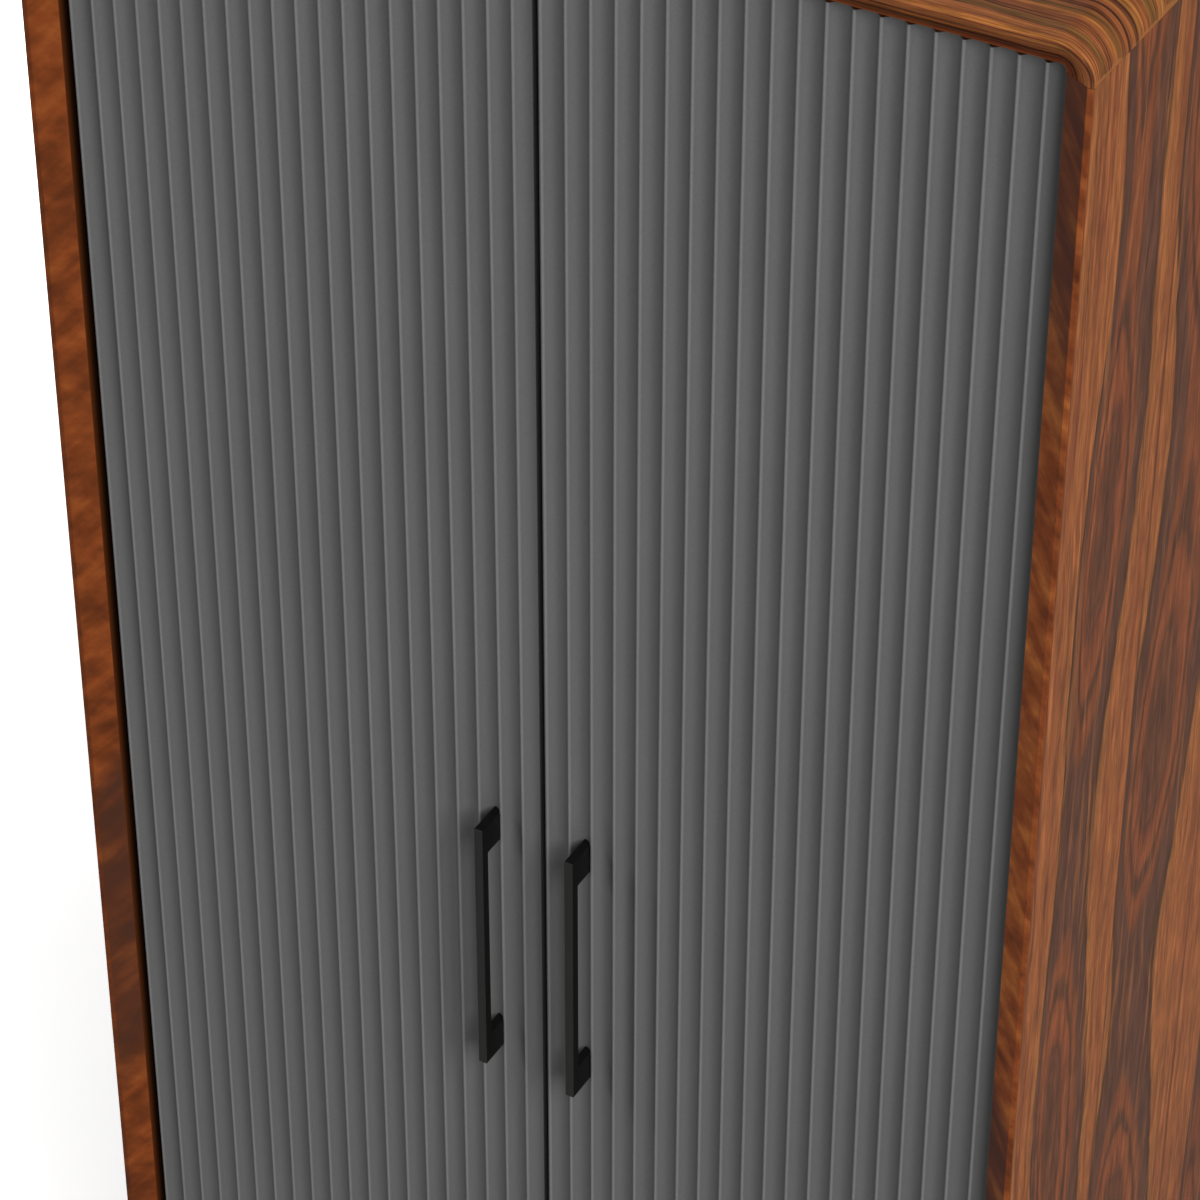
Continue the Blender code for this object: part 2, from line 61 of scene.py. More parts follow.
HALF_WIDTH = top_high[0]
BOARD = side_high[0] - side_low[0]
FRONT = side_low[1]
REAR = side_high[1]
CORNER = top_high[2] - top_low[2]
SEAM = 0.0003
REBATE = back_low[1] - SEAM
REBATE_WIDTH = 0.010
LIP = 0.0046
BEVEL = 0.012
CREST = door_low[1]
DOOR_THICK = door_high[1] - door_low[1]
DOOR_EASE = 0.0006

# Flutes: FIRST is the first crest's distance from the edge
PITCH = 0.020
SCOOP = 0.0055
FIRST = 0.004
CREST_ROUND = 0.002
BOTH_RADII = ((PITCH / 2) ** 2 + SCOOP**2) / (2 * SCOOP)

# Frame section: the eased corners, and the middle point of each
ARRIS_STEPS = 6
ARRIS_RADII = (0.0009, 0.0008, 0.0010, 0.0002, 0.0002, 0.0006, 0.0008)
ARRIS_MIDDLE = np.arange(len(ARRIS_RADII)) * (ARRIS_STEPS + 1) + ARRIS_STEPS // 2

# Handles
HANDLE_BAR = 0.009
HANDLE_POST = 0.028
HANDLE_RADII = (0.0008, 0.0007, 0.0007, 0.0010, 0.0010, 0.0007, 0.0007, 0.0008)
HANDLE_EASE = 0.0005

# Fittings: screw heads as radius and height, and what else is small
BACK_SCREW = (0.0034, 0.0014)
CATCH_SCREW = (0.0030, 0.0012)
SOCKET_SCREW = (0.0024, 0.0010)
STRIKE_SCREW = (0.0026, 0.0003)
HANDLE_SCREW = (0.0040, 0.0024)
BACK_SCREW_MARGIN = 0.06
BACK_SCREW_REACH = 0.30
PLATE_SCREW_INSET = 0.006
SOCKET_SCREW_INSET = 0.0036
SOCKET_FLANGE = 0.0030
SUNK = 0.0001
BUMPER_RADIUS = 0.0027
BUMPER_INSET = 0.25
PEG_HOLE_RADIUS = 0.0026
PEG_HOLE_STEPS = (-0.064, -0.032, 0.032, 0.064)

# Camera, fitted to the straight lines in the photograph
LENS = 133.49
CAMERA = (1.3732, CREST - 2.3235, door_high[2] + 1.4458)
LOOK_DOWN = 36.847
LOOK_LEFT = 29.582


class Skin:
    """Gathers grids and caps of one piece, with exact corner normals and grain coordinates."""

    def __init__(self):
        self.points = []
        self.grain = []
        self.faces = []
        self.normals = []
        self.finish = []
        self.count = 0

    def add_points(self, points, grain):
        """Takes in (n, 3) points and their grain coordinates, and returns the first index."""
        first = self.count
        self.points.append(points)
        self.grain.append(grain)
        self.count += len(points)
        return first

    def grid(self, points, normals, grain, close=False, finish=0):
        """A skin over an (n, m) grid. With close, the last column joins the first. Finish is its slot."""
        rows, columns = points.shape[:2]
        first = self.add_points(points.reshape(-1, 3), grain.reshape(-1, 3))
        index = first + np.arange(rows * columns).reshape(rows, columns)
        if close:
            index = np.concatenate([index, index[:, :1]], axis=1)
        corners = [index[:-1, :-1], index[:-1, 1:], index[1:, 1:], index[1:, :-1]]
        quads = np.stack(corners, axis=-1).reshape(-1, 4)
        flat = points.reshape(-1, 3)
        lie = normals.reshape(-1, 3)
        a, b, c, d = (flat[quads[:, i] - first] for i in range(4))
        face = np.cross(c - a, d - b)
        wanted = sum(lie[quads[:, i] - first] for i in range(4))
        if (face * wanted).sum() < 0:
            quads = quads[:, ::-1]
        self.faces.extend(quads.tolist())
        self.finish.extend([finish] * len(quads))
        self.normals.append(lie[quads - first].reshape(-1, 3))

    def cap(self, loop, normal, grain, finish=0):
        """A flat face over a closed loop of points."""
        first = self.add_points(loop, grain)
        order = np.arange(len(loop))
        following = np.roll(loop, -1, axis=0)
        area = np.cross(loop, following).sum(axis=0)
        if area @ np.asarray(normal) < 0:
            order = order[::-1]
        self.faces.append((first + order).tolist())
        self.finish.append(finish)
        self.normals.append(np.tile(np.asarray(normal, float), (len(loop), 1)))

    def closed(self, points, normals, outward, grain=None, ends=0):
        """A ringed grid with a cap over its first row, which faces outward, and one over its last."""
        grain = points if grain is None else grain
        outward = np.asarray(outward, float)
        self.grid(points, normals, grain, close=True)
        self.cap(points[0], outward, grain[0], ends)
        self.cap(points[-1], -outward, grain[-1], ends)

    def build(self, name, materials, body, *nodes):
        """Makes the mesh object, hangs it on its body, and hides the nodes it stands for."""
        mesh = bpy.data.meshes.new(name)
        points = np.concatenate(self.points)
        mesh.from_pydata(points.tolist(), [], self.faces)
        mesh.polygons.foreach_set("use_smooth", np.ones(len(mesh.polygons), bool))
        attribute = mesh.attributes.new("grain", "FLOAT_VECTOR", "POINT")
        attribute.data.foreach_set("vector", np.concatenate(self.grain).astype(np.float32).ravel())
        mesh.normals_split_custom_set(np.concatenate(self.normals))
        for material in materials:
            mesh.materials.append(material)
        mesh.polygons.foreach_set("material_index", np.array(self.finish, np.int32))
        mesh.update()
        obj = bpy.data.objects.new(name, mesh)
        bpy.context.scene.collection.objects.link(obj)
        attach(obj, body)
        if nodes:
            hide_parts(*nodes)


def rounded_loop(corners, radii, steps):
    """A closed outline, run counter-clockwise, with each corner rounded: both edges stop at
    radius x tan(half the turn) before it, and an arc joins them. Returns points and outward normals."""
    corner = np.asarray(corners, float)
    radius = np.broadcast_to(np.asarray(radii, float), len(corner))
    before = corner - np.roll(corner, 1, axis=0)
    after = np.roll(corner, -1, axis=0) - corner
    before = before / np.linalg.norm(before, axis=1, keepdims=True)
    after = after / np.linalg.norm(after, axis=1, keepdims=True)
    turn = np.arctan2(before[:, 0] * after[:, 1] - before[:, 1] * after[:, 0], (before * after).sum(axis=1))
    start = corner - before * (radius * np.tan(np.abs(turn) / 2))[:, None]
    outward = np.stack([before[:, 1], -before[:, 0]], axis=1)
    bend = np.sign(turn)[:, None] * radius[:, None]
    centre = start - outward * bend
    angle = turn[:, None] * np.linspace(0, 1, steps + 1)
    normal = outward[:, None] * np.cos(angle)[..., None] + before[:, None] * np.sin(angle)[..., None]
    points = centre[:, None] + bend[:, None] * normal
    return points.reshape(-1, 2), normal.reshape(-1, 2)


def rounded_ends(length, ease, steps):
    """Rows along a straight piece whose ends are rounded over: distance along, inset of the outline, and the
    share of the normal that turns to the end, each a quarter circle of radius ease at both ends."""
    quarter = np.linspace(0, np.pi / 2, steps + 1)
    rise = ease * (1 - np.cos(quarter))
    inset = ease * (1 - np.sin(quarter))
    along = np.concatenate([rise, length - rise[::-1]])
    inset = np.concatenate([inset, inset[::-1]])
    lean = np.concatenate([-np.cos(quarter), np.cos(quarter[::-1])])
    return along, inset, lean


def carry(outline, facing, axes, length, ease, steps):
    """A closed outline carried straight along, with rounded ends, as a grid of points and normals. Axes are
    those of the outline's two numbers and of the way along."""
    along, inset, lean = rounded_ends(length, ease, steps)
    points = np.zeros((len(along), len(outline), 3))
    points[..., axes[:2]] = outline[None] - facing[None] * inset[:, None, None]
    points[..., axes[2]] = along[:, None]
    normals = np.zeros_like(points)
    normals[..., axes[:2]] = facing[None] * np.sqrt(1 - lean**2)[:, None, None]
    normals[..., axes[2]] = lean[:, None]
    return points, normals


# Frame boards


def board_section():
    """A frame board's section: lip, bevel and rear rebate, with eased arrises."""
    corners = [
        (0, FRONT),
        (LIP, FRONT),
        (BOARD, FRONT + BEVEL),
        (BOARD, REBATE),
        (BOARD - REBATE_WIDTH, REBATE),
        (BOARD - REBATE_WIDTH, REAR),
        (0, REAR),
    ]
    return rounded_loop(corners, ARRIS_RADII, ARRIS_STEPS)


def sweep_board(outer, inward, along, ease=0.0002):
    """A board's section carried past stations: outer points and inward directions, both in the XZ plane, and
    the distance along the path. Both ends are eased by drawing the first and last section in. The lip and the
    bevel are the second slot, and the distance across runs on over them. The inner face is the third slot."""
    section, facing = board_section()
    outer = np.concatenate([outer[:1], outer, outer[-1:]])
    inward = np.concatenate([inward[:1], inward, inward[-1:]])
    along = np.concatenate([along[:1], along, along[-1:]])
    tangent = np.stack([inward[:, 1], -inward[:, 0]], axis=1)
    heading = outer[2] - outer[1]
    if (heading * tangent[1]).sum() < 0:
        tangent = -tangent
    nudge = np.zeros(len(outer))
    nudge[1] = ease
    nudge[-2] = -ease
    outer = outer + tangent * nudge[:, None]
    along = along + nudge
    draw = np.zeros(len(outer))
    draw[0] = draw[-1] = ease
    inset = section[None] - facing[None] * draw[:, None, None]
    shape = inset.shape[:2]
    points = np.zeros((*shape, 3))
    points[..., ::2] = outer[:, None] + inward[:, None] * inset[..., :1]
    points[..., 1] = inset[..., 1]
    normals = np.zeros_like(points)
    normals[..., ::2] = inward[:, None] * facing[None, :, :1]
    normals[..., 1] = facing[None, :, 1]
    run = np.broadcast_to(along[:, None], shape)
    grain = np.stack([inset[..., 0], inset[..., 1] - FRONT, run], axis=-1)
    step = np.linalg.norm(np.diff(section, axis=0), axis=1)
    length = np.concatenate([[0], np.cumsum(step)])
    arris, edge, corner = ARRIS_MIDDLE[[0, 2, 3]]
    across = np.broadcast_to(length[arris] - length, shape)
    folded = np.stack([inset[..., 0], across, run], axis=-1)
    skin = Skin()
    front = np.arange(arris, edge + 1)
    inner = np.arange(edge, corner + 1)
    rest = np.concatenate([np.arange(corner, len(section)), np.arange(0, arris + 1)])
    skin.grid(points[:, front], normals[:, front], folded[:, front], finish=1)
    skin.grid(points[:, inner], normals[:, inner], grain[:, inner], finish=2)
    skin.grid(points[:, rest], normals[:, rest], grain[:, rest])
    for row, sign in ((0, -1), (-1, 1)):
        end = (sign * tangent[row, 0], 0, sign * tangent[row, 1])
        skin.cap(points[row], end, grain[row])
    return skin


def end_board_path(joint, up, steps=24):
    """The path of the top or bottom board: a quarter circle round one corner, straight across, and a quarter
    circle round the other, as outer points, inward directions and distance along."""
    turn = np.linspace(0, np.pi / 2, steps + 1)
    turn = np.concatenate([turn, turn[::-1]])
    side = np.repeat([-1.0, 1.0], steps + 1)
    out = np.stack([side * np.cos(turn), up * np.sin(turn)], axis=1)
    centre = np.stack([side * (HALF_WIDTH - CORNER), np.full(len(side), joint)], axis=1)
    outer = centre + CORNER * out
    step = np.linalg.norm(np.diff(outer, axis=0), axis=1)
    along = np.concatenate([[0], np.cumsum(step)])
    return outer, -out, along - along[-1] / 2


def build_frame_boards(woods):
    """Top, bottom and both sides of the carcass."""
    for name, joint, up in (("top_panel", top_low[2], 1), ("bottom_panel", base_top, -1)):
        skin = sweep_board(*end_board_path(joint, up))
        skin.build(f"{name}_wood", [woods[name], woods[name], woods["lining"]], "carcass", name)
    height = np.array([side_low[2], side_high[2]])
    for name, side in (("left", -1), ("right", 1)):
        outer = np.stack([np.full(2, side * HALF_WIDTH), height], axis=1)
        inward = np.array([[-side, 0.0], [-side, 0.0]])
        skin = sweep_board(outer, inward, height)
        panel = f"{name}_side_panel"
        finishes = [woods[panel], woods[f"{name}_edge"], woods["lining"]]
        skin.build(f"{panel}_wood", finishes, "carcass", panel)


# Doors


def flute(x):
    """Depth of a door's face behind its crests and the slope of that depth, at distances x from its left
    edge. Scoop and crest are arcs that touch: their radii add up to (half pitch^2 + depth^2) / (2 depth)."""
    half = PITCH / 2
    radius = BOTH_RADII - CREST_ROUND
    offset = (x - FIRST) % PITCH - half
    u = np.abs(offset)
    in_scoop = u <= half * radius / BOTH_RADII
    scoop_root = np.sqrt(np.maximum(radius**2 - u**2, 1e-12))
    round_root = np.sqrt(np.maximum(CREST_ROUND**2 - (half - u) ** 2, 1e-12))
    depth = np.where(in_scoop, scoop_root - (radius - SCOOP), CREST_ROUND - round_root)
    slope = np.where(in_scoop, -u / scoop_root, (u - half) / round_root)
    return depth, slope * np.sign(offset)


def door_outline(width, ease=0.0009, scoop_steps=22):
    """A door in plan as (distance from its left edge, distance behind its crests): fluted face with its edges
    rolled over by a quarter circle, flat back with small rounds. Returns points, outward normals, and a share
    that is one on both edges and zero on face and back."""
    half = PITCH / 2
    widest = math.asin(half / BOTH_RADII)
    scoop = half + (BOTH_RADII - CREST_ROUND) * np.sin(np.linspace(-widest, widest, scoop_steps + 1))
    crest = CREST_ROUND * np.sin(np.linspace(-widest, widest, 13)[1:-1])
    one = np.sort(np.concatenate([scoop, crest]))
    starts = np.arange(-1, int(width / PITCH) + 1) * PITCH + FIRST
    inner = (starts[:, None] + one[None]).ravel()
    inner = inner[(inner > ease * 1.02) & (inner < width - ease * 1.02)]
    roll = np.linspace(0, np.pi / 2, 7)
    edge = ease * (1 - np.cos(roll))
    x = np.concatenate([edge, inner, width - edge[::-1]])
    depth, slope = flute(x)
    near = np.minimum(x, width - x)
    rolled = near <= ease
    root = np.sqrt(np.maximum(ease**2 - (ease - near) ** 2, 1e-12))
    extra = np.where(rolled, ease - root, 0.0)
    tilt = np.where(rolled, -(ease - near) / root, 0.0) * np.where(x < width / 2, 1, -1)
    slope = slope + tilt
    face = np.stack([x, depth + extra], axis=1)
    normal = np.stack([slope, -np.ones_like(slope)], axis=1)
    normal /= np.linalg.norm(normal, axis=1, keepdims=True)
    turn = np.linspace(0, np.pi / 2, 5)
    arc = np.stack([np.cos(turn), np.sin(turn)], axis=1)
    right = np.array([width - DOOR_EASE, DOOR_THICK - DOOR_EASE]) + DOOR_EASE * arc
    left_arc = np.stack([-np.sin(turn), np.cos(turn)], axis=1)
    left = np.array([DOOR_EASE, DOOR_THICK - DOOR_EASE]) + DOOR_EASE * left_arc
    fade = np.linspace(1, 0, 5)
    edge_share = np.concatenate([np.clip(1 - near / ease, 0, 1), fade, fade[::-1]])
    return np.concatenate([face, right, left]), np.concatenate([normal, arc, left_arc]), edge_share


def build_door(name, paint, core):
    """A door: its plan carried straight up, with its top and bottom arrises eased. Its ends show the core."""
    low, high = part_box(f"{name}_door_panel")
    outline, facing, edge_share = door_outline(high[0] - low[0])
    plan, normals = carry(outline, facing, [0, 1, 2], high[2] - low[2], DOOR_EASE, 4)
    points = plan + (low[0], CREST, low[2])
    from_crest = np.abs((plan[..., 0] - FIRST + PITCH / 2) % PITCH - PITCH / 2)
    on_face = plan[..., 1] < SCOOP + 0.001
    edges = np.broadcast_to(edge_share, plan.shape[:2])
    mark = np.stack([np.where(on_face, from_crest, PITCH / 2), edges, points[..., 2]], axis=-1)
    skin = Skin()
    skin.closed(points, normals, (0, 0, -1), mark, ends=1)
    skin.build(f"{name}_door_paint", [paint, core], f"{name}_door", f"{name}_door_panel")


def build_handle(name, black):
    """A bar handle: its U profile seen from the side, carried across its width, with eased arrises."""
    low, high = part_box(f"{name}_handle")
    front = low[1]
    back = front + HANDLE_BAR
    foot = CREST + SCOOP
    lower = low[2] + HANDLE_POST
    upper = high[2] - HANDLE_POST
    corners = [
        (front, low[2]),
        (foot, low[2]),
        (foot, lower),
        (back, lower),
        (back, upper),
        (foot, upper),
        (foot, high[2]),
        (front, high[2]),
    ]
    outline, facing = rounded_loop(corners, HANDLE_RADII, 4)
    points, normals = carry(outline, facing, [1, 2, 0], high[0] - low[0], HANDLE_EASE, 3)
    points[..., 0] += low[0]
    skin = Skin()
    skin.closed(points, normals, (-1, 0, 0))
    skin.build(f"{name}_handle_bar", [black], f"{name}_door", f"{name}_handle")


# Fittings


def grid_normals(points):
    """Unit normals of an (n, m) grid whose columns run round in a ring: its two slopes' cross product."""
    down = np.gradient(points, axis=0)
    around = np.roll(points, -1, axis=1) - np.roll(points, 1, axis=1)
    normals = np.cross(down, around)
    return normals / np.maximum(np.linalg.norm(normals, axis=2, keepdims=True), 1e-12)


def turned_frame(outward):
    """Two directions across a given one, as rows with it."""
    n = np.asarray(outward, float)
    u = np.roll(np.abs(n), 1)
    return u, np.cross(n, u), n


def add_screw_heads(skin, places, outward, radius, height):
    """Cross-slotted screw heads on a flat seat. Over a polar grid the head rises by 0.35 of its height at the
    rim and by the rest x (1 - (r / R)^4)^(1/2). The slot is sunk where the smaller of the two offsets from
    the middle is under an arm's half width and the larger one under its length."""
    u, v, n = turned_frame(outward)
    share = np.array([0.10, 0.18, 0.26, 0.34, 0.42, 0.50, 0.58, 0.66, 0.76, 0.86, 0.94, 1.0, 1.0])
    turned = math.pi / 5
    angle = np.linspace(0, math.tau, 48, endpoint=False) + turned
    r, a = np.meshgrid(share * radius, angle, indexing="ij")
    x, y = r * np.cos(a - turned), r * np.sin(a - turned)
    narrow = np.minimum(np.abs(x), np.abs(y)) / radius
    wide = np.maximum(np.abs(x), np.abs(y)) / radius
    slot = np.clip((0.20 - narrow) / 0.07, 0, 1) * np.clip((0.62 - wide) / 0.10, 0, 1)
    rise = height * (0.35 + 0.65 * np.sqrt(np.maximum(1 - (r / radius) ** 4, 0))) - 0.55 * height * slot
    rise[-1] = -SUNK
    shape = (r * np.cos(a))[..., None] * u + (r * np.sin(a))[..., None] * v + rise[..., None] * n
    normals = grid_normals(shape)
    normals *= np.sign((normals * n).sum(axis=2, keepdims=True) + 1e-9)
    normals[-1] = (np.cos(a)[..., None] * u + np.sin(a)[..., None] * v)[-1]
    for place in np.asarray(places, float):
        skin.closed(shape + place, normals, n)


def build_bumpers(name, rubber):
    """Soft bumpers behind a door, where it meets the divider: a quarter ellipse turned round, on a flat foot,
    as high as 0.8 of the gap."""
    low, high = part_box(f"{name}_door_panel")
    divider_low, divider_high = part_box("centre_divider")
    meeting = high[0] if name == "left" else low[0]
    limit = divider_low[0] if name == "left" else divider_high[0]
    middle = (meeting + limit) / 2
    height = 0.8 * (divider_low[1] - high[1])
    rise = np.linspace(0, np.pi / 2, 8)[::-1]
    angle = np.linspace(0, math.tau, 24, endpoint=False)
    radius = np.append(BUMPER_RADIUS * np.cos(rise * 0.97), BUMPER_RADIUS)
    tall = np.append(height * np.sin(rise), -SUNK)
    points = np.zeros((len(radius), len(angle), 3))
    points[..., 0] = radius[:, None] * np.cos(angle)
    points[..., 1] = tall[:, None]
    points[..., 2] = radius[:, None] * np.sin(angle)
    normals = grid_normals(points)
    outward = points * (1, 0, 1) / BUMPER_RADIUS**2 + (points + (0, 0.0004, 0)) * (0, 1, 0) / height**2
    normals *= np.sign((normals * outward).sum(axis=2, keepdims=True) + 1e-9)
    skin = Skin()
    for z in (low[2] + BUMPER_INSET, high[2] - BUMPER_INSET):
        skin.closed(points + (middle, high[1], z), normals, (0, 1, 0))
    skin.build(f"{name}_bumpers", [rubber], f"{name}_door")


def build_peg_holes(dark):
    """Spare holes above and below each shelf peg, as dark rounds on both walls whose darkness is painted
    shade
    for the holes: a shallow dish, 0.06 mm high at its rim and 0.02 mm in its middle."""
    pegs = [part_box(f"shelf_peg_{i}") for i in range(1, 13)]
    angle = np.linspace(0, math.tau, 20, endpoint=False)
    ring = np.stack([np.zeros_like(angle), np.cos(angle), np.sin(angle)], axis=1)
    radius = np.array([0.4, 1.0, 1.0]) * PEG_HOLE_RADIUS
    skin = Skin()
    for low, high in pegs:
        inward = 1.0 if low[0] < 0.2 else -1.0
        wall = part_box("centre_divider")[1][0] if inward > 0 else side_low[0]
        rise = np.array([0.00002, 0.00006, -SUNK]) * inward
        dish = ring[None] * radius[:, None, None]
        dish[..., 0] = rise[:, None]
        lie = np.zeros_like(dish)
        lie[..., 0] = inward
        lie[-1] = ring
        for step in PEG_HOLE_STEPS:
            points = dish + (wall, (low[1] + high[1]) / 2, (low[2] + high[2]) / 2 + step)
            skin.closed(points, lie, (inward, 0, 0))
    skin.build("spare_peg_hole_shades", [dark], "carcass")


def build_back_screws(steel):
    """Screws that hold the back panel: down both edges and the divider, and along its top and bottom."""
    seat = back_high[1]
    margin = REBATE_WIDTH / 2
    edge = side_low[0] + margin
    rows = np.linspace(base_top + BACK_SCREW_MARGIN, top_low[2] - BACK_SCREW_MARGIN, 9)
    columns = np.linspace(-BACK_SCREW_REACH, BACK_SCREW_REACH, 5)
    ledge = (back_low[2] + margin, back_high[2] - margin)
    upright = np.array([(x, seat, z) for x in (-edge, 0.0, edge) for z in rows])
    level = np.array([(x, seat, z) for x in columns for z in ledge])
    skin = Skin()
    add_screw_heads(skin, np.concatenate([upright, level]), (0, 1, 0), *BACK_SCREW)
    skin.build("back_panel_screws", [steel], "carcass")


def build_fitting_screws(steel, black):
    """Screws in the catches, strike plates and rail sockets, and the handles' screw heads."""
    skin = Skin()
    for name in ("left", "right"):
        low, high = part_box(f"{name}_catch")
        middle = (low[1] + high[1]) / 2 + 0.001
        columns = (low[0] + PLATE_SCREW_INSET, high[0] - PLATE_SCREW_INSET)
        ends = [(x, middle, low[2]) for x in columns]
        add_screw_heads(skin, ends, (0, 0, -1), *CATCH_SCREW)
    low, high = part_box("outer_rail_socket")
    middle = (low[1] + high[1]) / 2
    heights = (low[2] + SOCKET_SCREW_INSET, high[2] - SOCKET_SCREW_INSET)
    add_screw_heads(skin, [(low[0] + SOCKET_FLANGE, middle, z) for z in heights], (1, 0, 0), *SOCKET_SCREW)
    low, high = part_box("inner_rail_socket")
    add_screw_heads(skin, [(high[0] - SOCKET_FLANGE, middle, z) for z in heights], (-1, 0, 0), *SOCKET_SCREW)
    skin.build("carcass_fitting_screws", [steel], "carcass")
    for name in ("left", "right"):
        low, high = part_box(f"{name}_strike")
        middle = (low[2] + high[2]) / 2
        plate = Skin()
        columns = (low[0] + PLATE_SCREW_INSET, high[0] - PLATE_SCREW_INSET)
        ends = [(x, high[1] - SUNK, middle) for x in columns]
        add_screw_heads(plate, ends, (0, 1, 0), *STRIKE_SCREW)
        plate.build(f"{name}_strike_screws", [steel], f"{name}_door")
        heads = Skin()
        nodes = [f"{name}_{end}_handle_screw" for end in ("lower", "upper")]
        boxes = [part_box(node) for node in nodes]
        seats = [((a[0] + b[0]) / 2, door_high[1], (a[2] + b[2]) / 2) for a, b in boxes]
        add_screw_heads(heads, seats, (0, 1, 0), *HANDLE_SCREW)
        heads.build(f"{name}_handle_screw_heads", [black], f"{name}_door", *nodes)


# Finishes


class Graph:
    """Adds nodes to a tree and wires them by socket name."""

    def __init__(self, tree):
        self.tree = tree

    def fill(self, node, **inputs):
        """Sets inputs to values or other nodes' sockets. iN names the Nth input, and _ stands for a space."""
        for key, value in inputs.items():
            numbered = key[0] == "i" and key[1:].isdigit()
            socket = node.inputs[int(key[1:])] if numbered else node.inputs[key.replace("_", " ")]
            if isinstance(value, bpy.types.NodeSocket):
                self.tree.links.new(value, socket)
            else:
                socket.default_value = value

    def node(self, kind, settings=None, **inputs):
        """A new node with its settings and inputs."""
        made = self.tree.nodes.new(kind)
        for key, value in (settings or {}).items():
            setattr(made, key, value)
        self.fill(made, **inputs)
        return made

    def group(self, tree, **inputs):
        """The outputs of a shader group."""
        return self.node("ShaderNodeGroup", {"node_tree": tree}, **inputs).outputs

    def place(self):
        """The place on the object."""
        return self.node("ShaderNodeTexCoord").outputs["Object"]

    def grain(self):
        """The piece's own grain attribute."""
        return self.node("ShaderNodeAttribute", {"attribute_name": "grain"}).outputs["Vector"]

    def bump(self, height, strength, distance):
        """A normal tilted by a height."""
        made = self.node("ShaderNodeBump", None, Strength=strength, Distance=distance, Height=height)
        return made.outputs[0]

    def math(self, operation, a, b=0.0):
        """One arithmetic step."""
        return self.node("ShaderNodeMath", {"operation": operation}, i0=a, i1=b).outputs[0]

    def plus(self, a, b):
        """A sum."""
        return self.math("ADD", a, b)

    def minus(self, a, b):
        """A difference."""
        return self.math("SUBTRACT", a, b)

    def times(self, a, b):
        """A product."""
        return self.math("MULTIPLY", a, b)

    def vector(self, x, y, z):
        """Three numbers as a vector."""
        return self.node("ShaderNodeCombineXYZ", None, i0=x, i1=y, i2=z).outputs[0]

    def parts(self, vector):
        """A vector's three numbers."""
        return self.node("ShaderNodeSeparateXYZ", None, i0=vector).outputs

    def stretch(self, vector, factors):
        """A vector times three factors."""
        return self.node("ShaderNodeVectorMath", {"operation": "MULTIPLY"}, i0=vector, i1=factors).outputs[0]

    def shift(self, vector, amount):
        """A vector plus another."""
        return self.node("ShaderNodeVectorMath", {"operation": "ADD"}, i0=vector, i1=amount).outputs[0]

    def noise(self, vector, detail=2.0, roughness=0.5):
        """Smooth noise of a vector, about 0.5 on average."""
        made = self.node("ShaderNodeTexNoise", Vector=vector, Scale=1.0, Detail=detail, Roughness=roughness)
        return made.outputs[0]

    def spread(self, value, low, high, to_low=0.0, to_high=1.0):
        """Maps one range to another, clamped."""
        made = self.node("ShaderNodeMapRange", None, i0=value, i1=low, i2=high, i3=to_low, i4=to_high)
        return made.outputs[0]

    def blend(self, factor, a, b):
        """Two numbers mixed."""
        return self.node("ShaderNodeMix", {"data_type": "FLOAT"}, i0=factor, i2=a, i3=b).outputs[0]

    def grey(self, value):
        """A number as a grey colour."""
        return self.node("ShaderNodeCombineColor", None, i0=value, i1=value, i2=value).outputs[0]

    def mix(self, factor, a, b):
        """Two colours mixed."""
        return self.node("ShaderNodeMix", {"data_type": "RGBA"}, i0=factor, i6=a, i7=b).outputs[2]

    def tint(self, a, b):
        """A colour times another."""
        settings = {"data_type": "RGBA", "blend_type": "MULTIPLY"}
        return self.node("ShaderNodeMix", settings, i0=1.0, i6=a, i7=b).outputs[2]

    def ramp(self, value, stops):
        """Colours along a 0 to 1 value."""
        made = self.node("ShaderNodeValToRGB", None, i0=value)
        elements = made.color_ramp.elements
        elements[0].position = stops[0][0]
        elements[0].color = (*stops[0][1], 1)
        elements[1].position = stops[-1][0]
        elements[1].color = (*stops[-1][1], 1)
        for position, colour in stops[1:-1]:
            elements.new(position).color = (*colour, 1)
        return made.outputs[0]


def new_figure(name, inputs):
    """An empty shader group with named inputs that gives a colour, a roughness and a height. Returns the
    group, its graph, what it takes in and its result."""
    tree = bpy.data.node_groups.new(name, "ShaderNodeTree")
    for label, kind, value in inputs:
        socket = tree.interface.new_socket(label, in_out="INPUT", socket_type=f"NodeSocket{kind}")
        if value is not None:
            socket.default_value = value
    for label, kind in (("Color", "Color"), ("Roughness", "Float"), ("Height", "Float")):
        tree.interface.new_socket(label, in_out="OUTPUT", socket_type=f"NodeSocket{kind}")
    take = tree.nodes.new("NodeGroupInput").outputs
    return tree, Graph(tree), take, tree.nodes.new("NodeGroupOutput")


